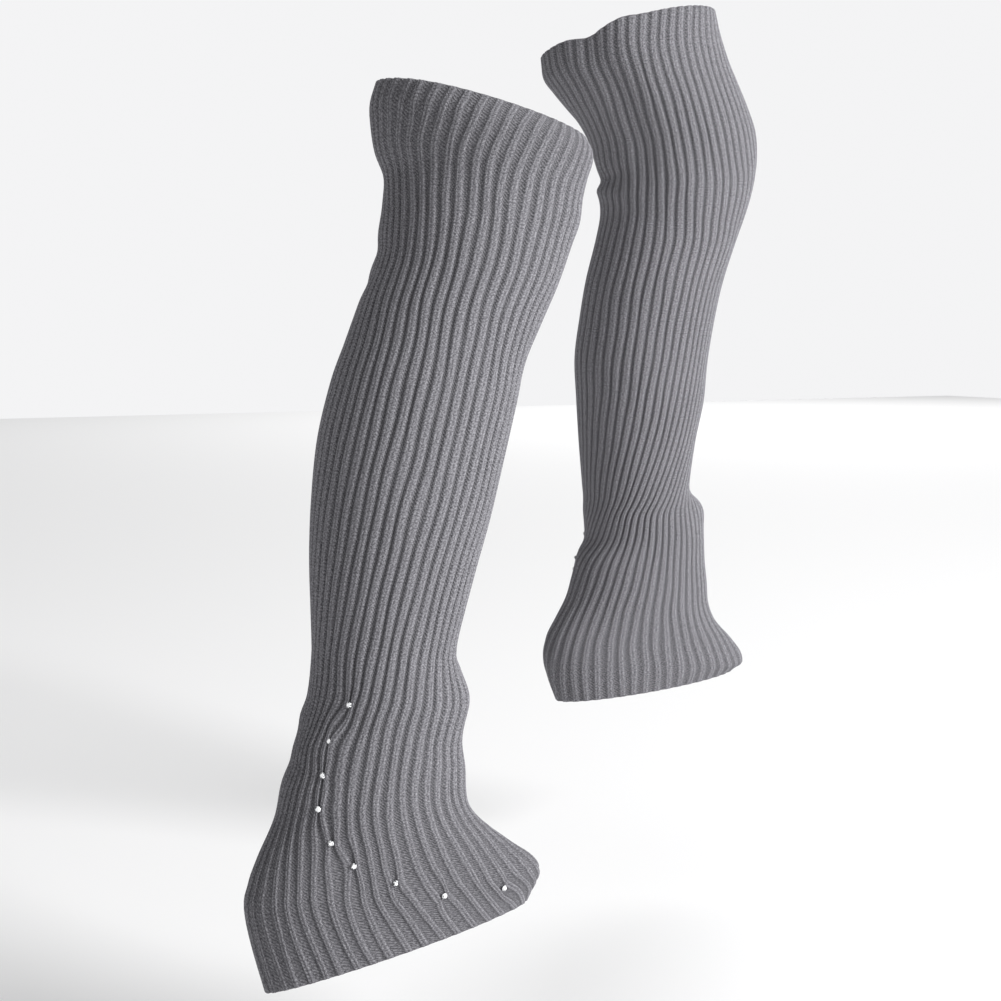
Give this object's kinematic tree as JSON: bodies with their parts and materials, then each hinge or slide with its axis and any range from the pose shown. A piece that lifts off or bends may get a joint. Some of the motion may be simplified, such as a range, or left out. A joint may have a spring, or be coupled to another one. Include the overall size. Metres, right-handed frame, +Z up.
{
  "type": "pair of figure skating socks",
  "caption": "Pair of grey rib-knit over-the-boot figure skating socks, filled out as worn in a stride, open at top and hem, with small crystals round the outer side of each boot.",
  "frame": {"origin": "middle of the right sock's top opening, where the leg in it holds it up", "axes": "+X towards the toes and the way the wearer steps, +Y towards the wearer's left, +Z up"},
  "size_m": [0.6422, 0.4367, 0.7295],
  "materials": {
    "rib_knit": "two-by-two rib knit in heathered mid-grey yarn, matt with a faint nap",
    "crystal": "clear flat-backed cut crystal with a silvered back"
  },
  "bodies": {
    "root": {"sock_right": "rib_knit", "sock_left": "rib_knit", "crystal_right_1": "crystal", "crystal_right_2": "crystal", "crystal_right_3": "crystal", "crystal_right_4": "crystal", "crystal_right_5": "crystal", "crystal_right_6": "crystal", "crystal_right_7": "crystal", "crystal_right_8": "crystal", "crystal_right_9": "crystal", "crystal_left_1": "crystal", "crystal_left_2": "crystal", "crystal_left_3": "crystal", "crystal_left_4": "crystal", "crystal_left_5": "crystal", "crystal_left_6": "crystal", "crystal_left_7": "crystal", "crystal_left_8": "crystal", "crystal_left_9": "crystal"}
  },
  "joints": []
}
